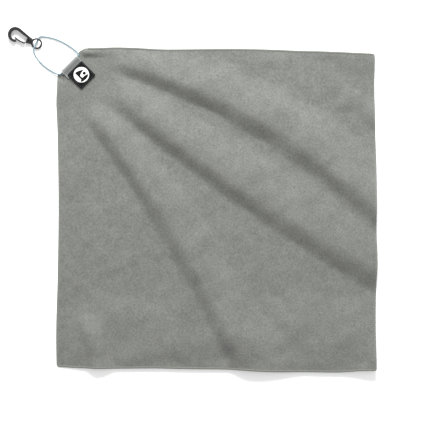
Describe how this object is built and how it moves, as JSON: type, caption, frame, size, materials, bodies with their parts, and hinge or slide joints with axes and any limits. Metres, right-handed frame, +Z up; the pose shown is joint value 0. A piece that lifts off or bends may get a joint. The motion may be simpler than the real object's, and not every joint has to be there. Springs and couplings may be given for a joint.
{
  "type": "golf towel",
  "caption": "Square microfibre golf towel lying open, with a corner ribbon tab, elastic cord loop and swivel snap hook.",
  "frame": {"origin": "middle of the towel's underside, on the surface that it lies on", "axes": "+Z up out of the surface, +X and +Y along the towel's sides; the tab, cord and hook are at the -X +Y corner"},
  "size_m": [0.4599, 0.431, 0.0105],
  "materials": {
    "towel_suede": "brushed microfibre suede, matt",
    "edge_thread": "overlocked polyester thread",
    "tab_ribbon": "ribbed grosgrain ribbon",
    "tab_thread": "polyester sewing thread",
    "label_weave": "damask woven label",
    "label_thread": "polyester sewing thread",
    "cord_braid": "braided elastic cord",
    "crimp_metal": "crimped, dull",
    "clip_plastic": "moulded acetal, fine satin"
  },
  "bodies": {
    "towel": {"towel_cloth": "towel_suede", "overlock_left": "edge_thread", "overlock_right": "edge_thread", "overlock_bottom": "edge_thread", "overlock_top": "edge_thread", "corner_tab": "tab_ribbon", "tab_seam": "tab_thread", "woven_label": "label_weave", "label_seam": "label_thread"},
    "loop": {"cord_loop": "cord_braid", "cord_ferrule": "crimp_metal"},
    "eye": {"swivel_eye": "clip_plastic"},
    "hook": {"hook_body": "clip_plastic"},
    "gate": {"gate_tongue": "clip_plastic"}
  },
  "joints": [
    {"name": "loop_fold", "type": "hinge", "parent": "towel", "child": "loop", "pos_m": [-0.1831, 0.18078, 0.0025], "axis": [0.7071, 0.7071, 0], "range_deg": [-110, 110]},
    {"name": "clip_swing", "type": "hinge", "parent": "loop", "child": "eye", "pos_m": [-0.22542, 0.20769, 0.00235], "axis": [0.3932, 0.9099, -0.1324], "range_deg": [-110, 110]},
    {"name": "hook_swivel", "type": "hinge", "parent": "eye", "child": "hook", "pos_m": [-0.22468, 0.20737, 0.0026], "axis": [-0.9184, 0.3955, 0], "continuous": true},
    {"name": "gate_open", "type": "hinge", "parent": "hook", "child": "gate", "pos_m": [-0.23942, 0.20816, 0.0026], "axis": [0, 0, -1], "range_deg": [0, 25], "stiffness_Nm_per_rad": 0.02}
  ]
}
